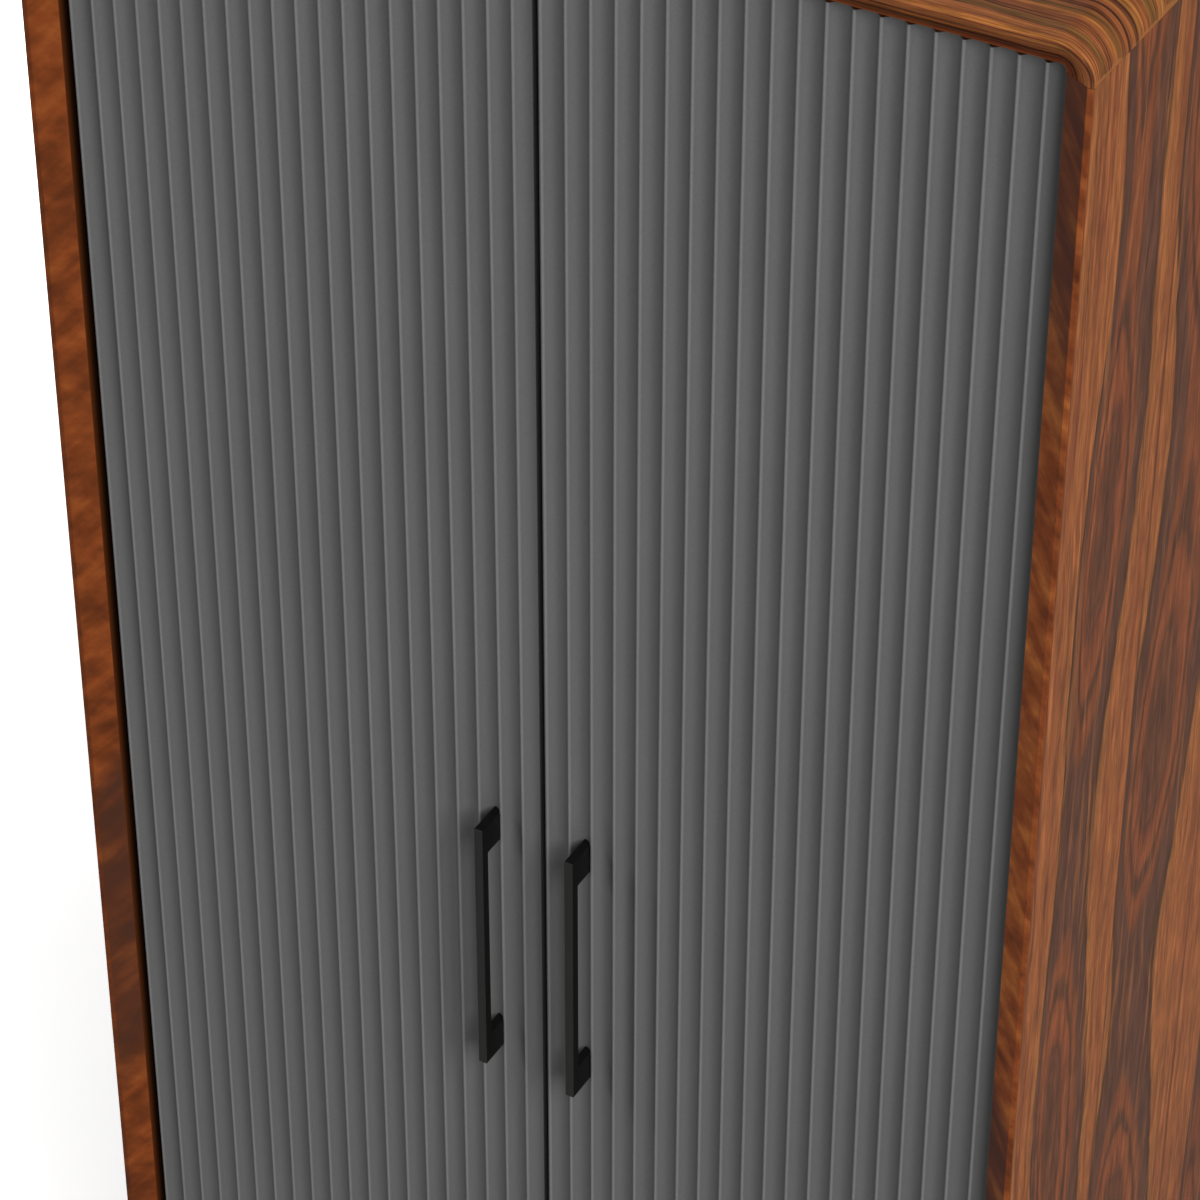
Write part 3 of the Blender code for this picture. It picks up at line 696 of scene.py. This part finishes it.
def hardwood_figure():
    """The figure of flat-sawn hardwood. A panel is glued up from planks. In a plank, a growth layer shows
    where (distance from the heart line / half width)^2 plus a slow wave along the grain is constant, which
    gives eyes and necks. The half widths differ to the front and to the back. Colours follow that number:
    dark heart, reddish rings, a dark outline, golden sapwood. Flecks, fibres, lines and pores are noise drawn
    out along the grain. A board that ends Joint along its grain has a wavy golden hem there."""
    tree, g, take, result = new_figure(
        "hardwood figure",
        [
            ("Grain", "Vector", None),
            ("Shift", "Vector", (0, 0, 0)),
            ("Plank", "Float", 0.169),
            ("Centre", "Float", 0.066),
            ("Near", "Float", 0.033),
            ("Far", "Float", 0.066),
            ("Spacing", "Float", 0.56),
            ("Neck", "Float", 0.56),
            ("Drift", "Float", 0.024),
            ("Wander", "Float", 0.016),
            ("Lines", "Float", 0.3),
            ("Reveal", "Float", 0.0),
            ("Bevel", "Float", 0.0),
            ("Joint", "Float", 9.0),
            ("Tint", "Color", (1, 1, 1, 1)),
        ],
    )
    placed = g.shift(take["Grain"], take["Shift"])
    inset, across, along = g.parts(placed)
    plank = g.math("FLOOR", g.math("DIVIDE", across, take["Plank"]))
    local = g.minus(across, g.times(plank, take["Plank"]))
    other = g.math("MINIMUM", g.math("ABSOLUTE", plank), 1.0)
    chance = g.node("ShaderNodeTexWhiteNoise", {"noise_dimensions": "1D"}, W=g.plus(plank, 7.3)).outputs[1]
    first, second, third = g.node("ShaderNodeSeparateColor", None, i0=chance).outputs

    def share(value, low, high):
        """A plank's own share of its width."""
        return g.times(g.spread(value, 0.0, 1.0, low, high), take["Plank"])

    def drawn(vector, over, down, detail, roughness=0.5):
        """Noise with features per metre across the grain and along it."""
        return g.noise(g.stretch(vector, (over, over, down)), detail, roughness)

    calm = g.spread(g.math("ABSOLUTE", plank), 1.0, 2.0)
    spacing = g.times(take["Spacing"], g.spread(calm, 0.0, 1.0, 1.0, 1.7))
    centre = g.blend(other, take["Centre"], share(first, 0.10, 0.60))
    near = g.blend(other, take["Near"], share(second, 0.22, 0.50))
    far = g.blend(other, take["Far"], share(third, 0.28, 0.55))
    slim = g.spread(g.times(calm, third), 0.0, 1.0, 1.0, 0.45)
    near = g.times(near, slim)
    far = g.times(far, slim)
    lift = g.times(g.times(second, spacing), other)
    apart = g.vector(0.0, g.times(plank, 3.7), lift)
    spot = g.shift(placed, apart)

    turn = g.times(g.math("DIVIDE", g.plus(along, lift), spacing), math.tau)
    lean = g.math("SINE", g.times(turn, -0.5))
    less = g.minus(1.0, lean)
    drift = g.times(g.times(less, less), g.times(take["Drift"], 0.25))
    slow = g.minus(drawn(spot, 7.0, 2.4, 2.0), 0.5)
    sway = g.minus(drawn(spot, 30.0, 8.0, 3.0), 0.5)
    ripple = g.minus(drawn(spot, 130.0, 30.0, 2.0), 0.5)
    aside = g.minus(g.minus(local, centre), drift)
    aside = g.plus(aside, g.times(slow, take["Wander"]))
    aside = g.plus(aside, g.times(sway, 0.012))
    aside = g.plus(aside, g.times(ripple, 0.0034))
    width = g.blend(g.spread(aside, -0.004, 0.004), near, far)
    ratio = g.math("DIVIDE", aside, width)
    neck = g.times(take["Neck"], g.plus(g.times(lean, 0.11), 0.5))
    swell = g.times(g.minus(1.0, g.math("COSINE", turn)), neck)
    layer = g.plus(g.times(ratio, ratio), swell)
    layer = g.plus(layer, g.times(sway, 0.20))
    layer = g.plus(layer, g.times(inset, 6.0))

    heart = g.ramp(
        g.math("DIVIDE", layer, 1.6),
        [
            (0.000, (0.100, 0.037, 0.019)),
            (0.014, (0.088, 0.034, 0.018)),
            (0.034, (0.124, 0.044, 0.021)),
            (0.050, (0.100, 0.038, 0.019)),
            (0.070, (0.126, 0.044, 0.021)),
            (0.084, (0.096, 0.036, 0.019)),
            (0.106, (0.165, 0.050, 0.021)),
            (0.150, (0.212, 0.062, 0.024)),
            (0.188, (0.190, 0.057, 0.022)),
            (0.208, (0.086, 0.034, 0.018)),
            (0.232, (0.096, 0.037, 0.019)),
            (0.262, (0.190, 0.057, 0.022)),
            (0.310, (0.165, 0.052, 0.021)),
            (0.350, (0.100, 0.041, 0.024)),
            (0.500, (0.096, 0.040, 0.024)),
            (0.580, (0.074, 0.030, 0.015)),
            (0.615, (0.080, 0.034, 0.015)),
            (0.645, (0.256, 0.095, 0.030)),
            (0.720, (0.297, 0.100, 0.032)),
            (1.000, (0.267, 0.085, 0.029)),
        ],
    )
    sap = g.spread(layer, 0.96, 1.10)
    bent = g.shift(spot, g.vector(0.0, g.times(sway, 0.016), 0.0))
    streak = drawn(bent, 120.0, 5.0, 3.0, 0.6)
    pink = g.times(g.spread(streak, 0.50, 0.62), g.times(sap, 0.75))
    blushed = g.mix(pink, heart, (0.190, 0.054, 0.022, 1))
    golden = g.times(g.spread(streak, 0.46, 0.36), g.spread(layer, 0.10, 1.0, 0.15, 0.5))
    warmed = g.mix(golden, blushed, (0.345, 0.122, 0.037, 1))
    line = drawn(bent, 210.0, 2.0, 4.0, 0.68)
    gold = g.times(g.spread(line, 0.54, 0.66), g.times(take["Lines"], sap))
    gilded = g.mix(g.times(gold, 0.85), warmed, (0.375, 0.150, 0.036, 1))
    band = drawn(bent, 64.0, 1.1, 3.0, 0.55)
    olive = g.times(g.spread(band, 0.50, 0.60), g.times(take["Lines"], sap))
    gilded = g.mix(g.times(olive, 0.55), gilded, (0.150, 0.072, 0.022, 1))
    dark = g.times(g.spread(line, 0.48, 0.38), take["Lines"])
    lined = g.mix(g.times(dark, 0.95), gilded, (0.052, 0.019, 0.010, 1))
    fleck = drawn(bent, 170.0, 26.0, 3.0, 0.65)
    fibre = drawn(bent, 420.0, 16.0, 3.0, 0.6)
    broad = drawn(spot, 24.0, 6.0, 2.0, 0.5)
    tone = g.times(g.spread(fleck, 0.28, 0.72, 0.64, 1.36), g.spread(fibre, 0.28, 0.72, 0.68, 1.32))
    tone = g.times(tone, g.spread(broad, 0.3, 0.7, 0.92, 1.08))
    toned = g.tint(lined, g.grey(tone))
    pore = g.spread(drawn(spot, 1000.0, 48.0, 1.0), 0.66, 0.74)
    pored = g.mix(g.times(pore, 0.35), toned, (0.030, 0.012, 0.007, 1))
    half = g.times(take["Plank"], 0.5)
    edge = g.minus(half, g.math("ABSOLUTE", g.minus(local, half)))
    seam = g.spread(edge, 0.0026, 0.0004, 0.0, 0.60)
    seamed = g.mix(seam, pored, (0.040, 0.016, 0.009, 1))
    raw = g.parts(take["Grain"])
    # Painted shade: with Reveal, the inner face just behind the front, in the recess beside the doors, is
    # darkened to deep brown and then to near black further back.
    inner = g.times(g.spread(raw[0], 0.0236, 0.0242), g.spread(raw[1], 0.060, 0.026))
    reveal_shade = g.times(inner, take["Reveal"])
    shadow = g.mix(g.spread(raw[1], 0.012, 0.019), (0.075, 0.020, 0.005, 1), (0.012, 0.004, 0.0015, 1))
    tinted = g.tint(seamed, take["Tint"])
    reveal_shaded = g.mix(reveal_shade, tinted, shadow)
    # Painted shade: with Bevel, the inner part of the bevel is darkened by a reddish-brown tint.
    turned = g.times(g.spread(raw[1], -0.008, -0.020), take["Bevel"])
    bevel_shaded = g.mix(turned, reveal_shaded, g.tint(reveal_shaded, (0.50, 0.34, 0.26, 1)))
    hem = g.times(g.spread(raw[1], -0.0262, -0.0272), take["Bevel"])
    hemmed = g.mix(g.times(hem, 0.8), bevel_shaded, (0.230, 0.062, 0.015, 1))
    short = g.minus(take["Joint"], g.math("ABSOLUTE", raw[2]))
    wavy = g.plus(short, g.times(sway, 0.018))
    wavy = g.times(g.spread(wavy, 0.0034, 0.0022, 0.0, 0.75), g.spread(raw[1], -0.001, 0.004))
    joined = g.mix(wavy, hemmed, (0.300, 0.112, 0.032, 1))
    rough = g.plus(g.spread(fleck, 0.3, 0.7, 0.38, 0.46), g.times(pore, 0.1))
    g.fill(result, Color=joined, Roughness=rough, Height=g.minus(g.times(fibre, 0.5), pore))
    return tree


def banding_figure():
    """The figure of the cross-banded edge: soft clouds and slanting flames over the bevel, which has painted
    shade near its top, above a given height, and is darker at the handles' height, and a lip with a few small
    dark knots."""
    tree, g, take, result = new_figure(
        "banding figure",
        [
            ("Grain", "Vector", None),
            ("Shift", "Vector", (0, 0, 0)),
            ("Contrast", "Float", 1.7),
            ("Level", "Float", 0.42),
            ("Smoke", "Float", 1.66),
            ("Tint", "Color", (1, 1, 1, 1)),
        ],
    )
    placed = g.shift(take["Grain"], take["Shift"])
    across, run = g.parts(placed)[1:3]
    slant = g.plus(run, g.times(across, 0.9))

    def field(down, over, seed, detail):
        """Noise over the edge: features per metre along it and across it."""
        a = g.times(down[0], down[1])
        b = g.times(across, over)
        return g.noise(g.vector(a, b, seed), detail, 0.58)

    cloud = field((run, 50.0), 34.0, 0.4, 3.0)
    length = field((run, 9.0), 6.0, 3.1, 2.0)
    flame = field((slant, 46.0), 16.0, 6.2, 2.0)
    fibre = field((slant, 300.0), 40.0, 8.7, 2.0)
    lip = g.spread(across, -0.0054, -0.0042)
    value = g.plus(g.times(cloud, 0.85), g.times(length, 0.85))
    value = g.plus(value, g.times(flame, 0.45))
    value = g.times(g.minus(value, 1.075), take["Contrast"])
    value = g.plus(value, take["Level"])
    value = g.minus(value, g.times(lip, 0.11))
    base = g.ramp(
        value,
        [
            (0.00, (0.068, 0.018, 0.0065)),
            (0.30, (0.116, 0.029, 0.0085)),
            (0.52, (0.178, 0.043, 0.0110)),
            (0.74, (0.235, 0.064, 0.0150)),
            (1.00, (0.340, 0.106, 0.0220)),
        ],
    )
    tone = g.times(g.spread(fibre, 0.25, 0.75, 0.93, 1.07), g.spread(flame, 0.25, 0.75, 0.90, 1.10))
    toned = g.tint(base, g.grey(tone))
    knot = g.times(g.spread(field((run, 55.0), 160.0, 11.9, 1.0), 0.70, 0.76), lip)
    knotted = g.mix(g.times(knot, 0.85), toned, (0.040, 0.016, 0.008, 1))
    # Painted shade near the bevel's top, above the given height, and a darker stretch at the handles' height,
    # both kept off the lip.
    wave = g.plus(run, g.times(across, 1.6))
    above = g.spread(g.minus(wave, take["Smoke"]), 0.0, 0.10)
    below = g.times(g.spread(wave, 1.06, 1.02), g.spread(wave, 0.68, 0.75))
    under = g.times(g.math("MAXIMUM", above, below), g.minus(1.0, lip))
    veil = g.times(under, g.spread(flame, 0.36, 0.64, 0.96, 0.62))
    top_shade_and_dark_band = g.mix(veil, knotted, (0.060, 0.0225, 0.0130, 1))
    tinted = g.tint(top_shade_and_dark_band, take["Tint"])
    g.fill(result, Color=tinted, Roughness=g.spread(cloud, 0.3, 0.7, 0.36, 0.44), Height=fibre)
    return tree


def new_material(name):
    """An empty material, its graph and its Principled shader."""
    material = bpy.data.materials.new(name)
    material.use_nodes = True
    shader = material.node_tree.nodes["Principled BSDF"]
    return material, Graph(material.node_tree), shader


def wood_material(name, figure, shift, order=None, **choices):
    """Lacquered hardwood. Swept boards read their grain attribute. With order, a plain board reads its own
    coordinates: order names the axes through the board, across it and along the grain."""
    material, g, shader = new_material(name)
    if order is None:
        grain = g.grain()
    else:
        axes = g.parts(g.place())
        grain = g.vector(*(axes[axis] for axis in order))
    made = g.group(figure, Grain=grain, Shift=shift, **choices)
    tilted = g.bump(made["Height"], 0.2, 0.0002)
    g.fill(shader, Base_Color=made["Color"], Roughness=made["Roughness"], Normal=tilted)
    g.fill(shader, Specular_IOR_Level=0.03)
    return material


def mottle_figure():
    """An uneven finish: noise of the place times Scale makes the colour up to Tone lighter or darker and the
    surface up to Spread rougher or smoother. The noise itself is the height."""
    tree, g, take, result = new_figure(
        "mottled finish",
        [
            ("Place", "Vector", None),
            ("Scale", "Vector", (100, 100, 100)),
            ("Color", "Color", (0.5, 0.5, 0.5, 1)),
            ("Tone", "Float", 0.08),
            ("Roughness", "Float", 0.5),
            ("Spread", "Float", 0.05),
        ],
    )
    noise = g.noise(g.stretch(take["Place"], take["Scale"]), 3.0, 0.6)
    swing = g.spread(noise, 0.3, 0.7, -1.0, 1.0)
    tone = g.plus(g.times(swing, take["Tone"]), 1.0)
    rough = g.plus(g.times(swing, take["Spread"]), take["Roughness"])
    g.fill(result, Color=g.tint(take["Color"], g.grey(tone)), Roughness=rough, Height=noise)
    return tree


def mottled_material(name, mottle, colour, scale, tone, roughness, spread, metallic):
    """Plain metal, plastic or rubber with an uneven finish."""
    material, g, shader = new_material(name)
    values = {"Scale": scale, "Color": (*colour, 1), "Tone": tone, "Roughness": roughness, "Spread": spread}
    made = g.group(mottle, Place=g.place(), **values)
    tilted = g.bump(made["Height"], 0.1, 0.0001)
    g.fill(shader, Base_Color=made["Color"], Roughness=made["Roughness"], Normal=tilted, Metallic=metallic)
    return material


def paint_material(name, mottle, colour):
    """Matte sprayed paint: faint clouds, a little speckle, the slight orange peel of the spray, crests
    painted lighter as a highlight and a little smoother, and edges painted darker as the shade in the gaps."""
    material, g, shader = new_material(name)
    place = g.place()
    cloud = g.group(mottle, Place=place, Scale=(14, 14, 6), Color=(*colour, 1), Tone=0.03)["Color"]
    values = {"Color": cloud, "Tone": 0.06, "Roughness": 0.50, "Spread": 0.04}
    speck = g.group(mottle, Place=place, Scale=(620, 620, 620), **values)
    from_crest, edge = g.parts(g.grain())[0:2]
    # Painted highlight: each crest is lightened up to 1.72 times; painted shade: the door's edges, in the
    # gaps, are darkened to 0.42.
    crest = g.spread(from_crest, 0.0017, 0.0004)
    tone = g.times(g.spread(crest, 0.0, 1.0, 1.0, 1.72), g.spread(edge, 0.2, 0.8, 1.0, 0.42))
    toned = g.tint(speck["Color"], g.grey(tone))
    rough = g.minus(speck["Roughness"], g.times(crest, 0.10))
    tilted = g.bump(speck["Height"], 0.10, 0.0002)
    g.fill(shader, Base_Color=toned, Roughness=rough, Normal=tilted, Specular_IOR_Level=0.25)
    return material


def black_material(name, mottle):
    """Satin black lacquer with fine upright brushing, the front face painted lighter and the sides darker, as
    lit and shaded faces.
    """
    material, g, shader = new_material(name)
    place = g.place()
    depth = g.parts(place)[1]
    # Painted light: the handle's front face is lighter than its shaded sides.
    lit_front = g.spread(depth, handle_front + 0.0012, handle_front + 0.0003)
    base = g.mix(lit_front, (0.0028, 0.0027, 0.0026, 1), (0.0150, 0.0142, 0.0135, 1))
    values = {"Scale": (900, 900, 60), "Color": base, "Tone": 0.15, "Roughness": 0.47, "Spread": 0.05}
    made = g.group(mottle, Place=place, **values)
    g.fill(shader, Base_Color=made["Color"], Roughness=made["Roughness"], Specular_IOR_Level=0.12)
    return material


def dress_nodes(finishes):
    """Gives each remaining node the first finish whose key is in its name."""
    for name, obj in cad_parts.items():
        for key, material in finishes.items():
            if key in name:
                obj.data.materials.clear()
                obj.data.materials.append(material)
                break


# Studio


def seen_share(g, mirrored):
    """One for a ray that the camera sees straight or through glass, a share of it for one seen in a shiny
    surface, and zero for light on its way."""
    path = g.node("ShaderNodeLightPath").outputs
    seen = g.math("MAXIMUM", path["Is Camera Ray"], path["Is Transmission Ray"])
    return g.math("MAXIMUM", seen, g.times(path["Is Glossy Ray"], mirrored))


def build_studio():
    """A pale floor, soft light and the camera at the photograph's view."""
    scene = bpy.context.scene
    scene.view_settings.view_transform = "Standard"
    world = bpy.data.worlds.new("studio")
    scene.world = world
    world.use_nodes = True
    g = Graph(world.node_tree)
    seen = seen_share(g, 0.6)
    background = world.node_tree.nodes["Background"]
    g.fill(background, Color=(1, 1, 1, 1), Strength=g.spread(seen, 0.0, 1.0, 0.10, 1.0))

    mesh = bpy.data.meshes.new("floor")
    corners = [(-30, -30, 0), (30, -30, 0), (30, 30, 0), (-30, 30, 0)]
    mesh.from_pydata(corners, [], [(0, 1, 2, 3)])
    floor = bpy.data.objects.new("floor", mesh)
    scene.collection.objects.link(floor)
    material, g, shader = new_material("pale floor")
    distance = g.node("ShaderNodeVectorMath", {"operation": "LENGTH"}, i0=g.place()).outputs["Value"]
    seen = seen_share(g, 0.05)
    pale = g.mix(seen, (0.42, 0.42, 0.42, 1), (0.94, 0.94, 0.94, 1))
    glow = g.times(seen, g.spread(distance, 1.2, 3.6, 0.42, 1.0))
    g.fill(shader, Base_Color=pale, Roughness=0.9, Emission_Color=(1, 1, 1, 1), Emission_Strength=glow)
    mesh.materials.append(material)

    def lamp(name, place, aim, size, power):
        """A square soft box that looks at a point."""
        data = bpy.data.lights.new(name, "AREA")
        data.shape = "SQUARE"
        data.size = size
        data.energy = power
        obj = bpy.data.objects.new(name, data)
        scene.collection.objects.link(obj)
        obj.location = place
        gaze = np.array(aim, float) - np.array(place, float)
        gaze /= np.linalg.norm(gaze)
        obj.rotation_euler = (math.acos(-gaze[2]), 0, math.atan2(gaze[1], gaze[0]) - math.pi / 2)
        obj.visible_camera = False

    lamp("key", (8.5, -6.95, 8.2), (0, -0.2, 1.2), 8.0, 2060)
    lamp("fill", (-4.0, -2.6, 3.3), (0, -0.2, 1.2), 2.0, 67)
    lamp("rear", (-2.4, 4.2, 1.3), (0, 0.28, 1.0), 2.4, 170)

    camera = bpy.data.cameras.new("camera")
    camera.sensor_width = 36
    camera.lens = LENS
    obj = bpy.data.objects.new("camera", camera)
    scene.collection.objects.link(obj)
    obj.location = CAMERA
    obj.rotation_euler = (math.radians(90 - LOOK_DOWN), 0, math.radians(LOOK_LEFT))
    scene.camera = obj


def main():
    """Finishes, pieces and studio."""
    figure = hardwood_figure()
    joint = CORNER * math.pi / 2 + HALF_WIDTH - CORNER
    long_grain = {"Centre": 0.5, "Near": 0.1, "Far": 0.1, "Lines": 1.5, "Bevel": 1.0, "Joint": float(joint)}
    woods = {
        "top_panel": wood_material("top board wood", figure, (0, 0.06, 0.3), Plank=0.9, **long_grain),
        "bottom_panel": wood_material("bottom board wood", figure, (0, 0.06, 2.3), Plank=0.9, **long_grain),
        "left_side_panel": wood_material("left side wood", figure, (0, -0.30, 0.25)),
        "right_side_panel": wood_material("right side wood", figure, (0, 0.0, -1.564)),
    }
    banding = banding_figure()
    # The left edge's painted shade starts 1.84 m up its bevel.
    woods["left_edge"] = wood_material("left edge banding", banding, (0, 0, 0), Contrast=1.2, Smoke=1.84)
    # Painted sheen: the right edge banding is lighter and bluer than the left, standing in for reflected
    # light on its bevel.
    sheen_tint = (1.12, 1.17, 1.40, 1)
    woods["right_edge"] = wood_material("right edge banding", banding, (0, 0, 0), Level=0.62, Tint=sheen_tint)
    lining = {"Centre": 5.0, "Plank": 9.0, "Lines": 0.35, "Tint": (1.75, 2.30, 2.90, 1)}
    # The lining carries the painted shade of the recess beside the doors.
    woods["lining"] = wood_material("lining", figure, (0, 2.0, 3.7), Reveal=1.0, **lining)
    shelf = wood_material("shelf veneer", figure, (0, 2.2, 3.1), (2, 1, 0), **lining)
    upright = wood_material("divider veneer", figure, (0, 2.4, 4.1), (0, 1, 2), **lining)
    back = wood_material("back veneer", figure, (0, 2.9, 4.6), (1, 0, 2), **lining)
    dark = {"Centre": 5.0, "Plank": 9.0, "Lines": 0.8, "Tint": (0.42, 0.38, 0.36, 1)}
    plinth = wood_material("plinth wood", figure, (0, 2.1, 5.1), (1, 2, 0), **dark)
    plinth_side = wood_material("plinth side wood", figure, (0, 2.1, 5.6), (0, 2, 1), **dark)
    core = wood_material("door core", figure, (0, 2.3, 6.1), (2, 1, 0), **dark)
    mottle = mottle_figure()
    paint = paint_material("slate paint", mottle, (0.0918, 0.0917, 0.0915))
    black = black_material("satin black", mottle)
    plated = (160, 160, 160)
    drawn = (3, 300, 300)
    moulded = (900, 900, 900)
    # Colour, noise per metre, tone, roughness and its spread, metallic
    plain = {
        "zinc plate": ((0.62, 0.61, 0.58), plated, 0.08, 0.30, 0.05, 1.0),
        "polished chrome": ((0.80, 0.80, 0.81), drawn, 0.03, 0.14, 0.03, 1.0),
        "brown plastic": ((0.055, 0.036, 0.026), moulded, 0.10, 0.48, 0.06, 0.0),
        "dark nylon": ((0.05, 0.05, 0.05), moulded, 0.10, 0.48, 0.06, 0.0),
        "grey rubber": ((0.16, 0.16, 0.155), moulded, 0.10, 0.62, 0.05, 0.0),
    }
    made = [mottled_material(name, mottle, *values) for name, values in plain.items()]
    steel, chrome, brown, nylon, rubber = made

    build_frame_boards(woods)
    for name in ("left", "right"):
        build_door(name, paint, core)
    for name in ("left", "right"):
        build_handle(name, black)
        build_bumpers(name, rubber)
    # The spare peg holes are dark rounds, painted shade for the holes.
    build_peg_holes(nylon)
    build_back_screws(steel)
    build_fitting_screws(steel, black)
    finishes = {
        "plinth_left": plinth_side,
        "plinth_right": plinth_side,
        "plinth": plinth,
        "shelf_peg": steel,
        "shelf": shelf,
        "divider": upright,
        "back_panel": back,
        "rail": chrome,
        "glide": nylon,
        "washer": nylon,
        "catch": brown,
        "pivot": steel,
        "leaf": steel,
        "strike": steel,
    }
    dress_nodes(finishes)
    build_studio()


main()
